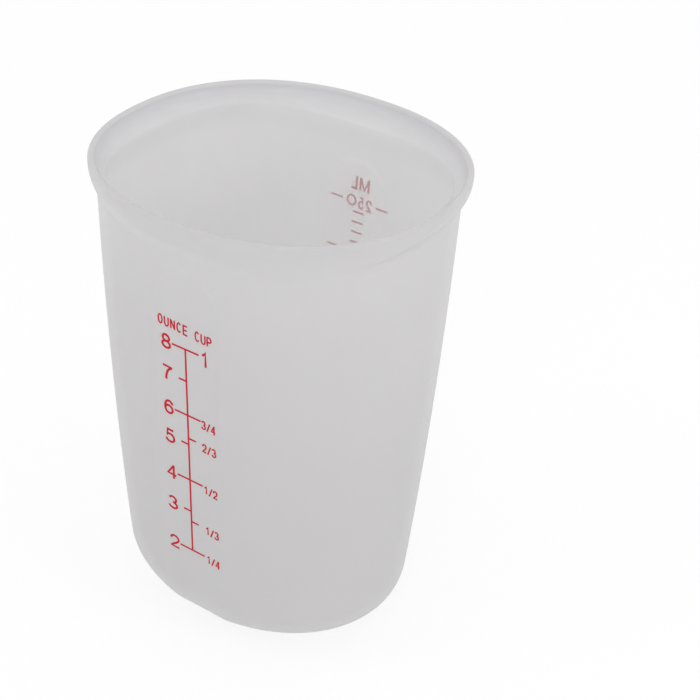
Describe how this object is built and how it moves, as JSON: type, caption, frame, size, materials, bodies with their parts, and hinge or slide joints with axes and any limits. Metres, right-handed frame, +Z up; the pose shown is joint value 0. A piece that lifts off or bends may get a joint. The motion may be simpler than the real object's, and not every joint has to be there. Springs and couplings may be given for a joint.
{
  "type": "resin mixing cup",
  "caption": "Soft oval silicone mixing cup with a rounded foot, a collar at the rim, and a printed measuring scale on a flat strip on each side.",
  "frame": {"origin": "middle of the base, on the surface that the cup stands on", "axes": "+Z up, towards the rim; X along the printed lines and the longer width; the ounce and cup scale faces -Y and the millilitre scale faces +Y"},
  "size_m": [0.09, 0.085, 0.13],
  "materials": {
    "silicone": "soft matt translucent silicone rubber, milky white",
    "red_ink": "thin printed crimson ink, matt"
  },
  "bodies": {
    "root": {"cup_body": "silicone", "ounce_cup_scale": "red_ink", "millilitre_scale": "red_ink"}
  },
  "joints": []
}
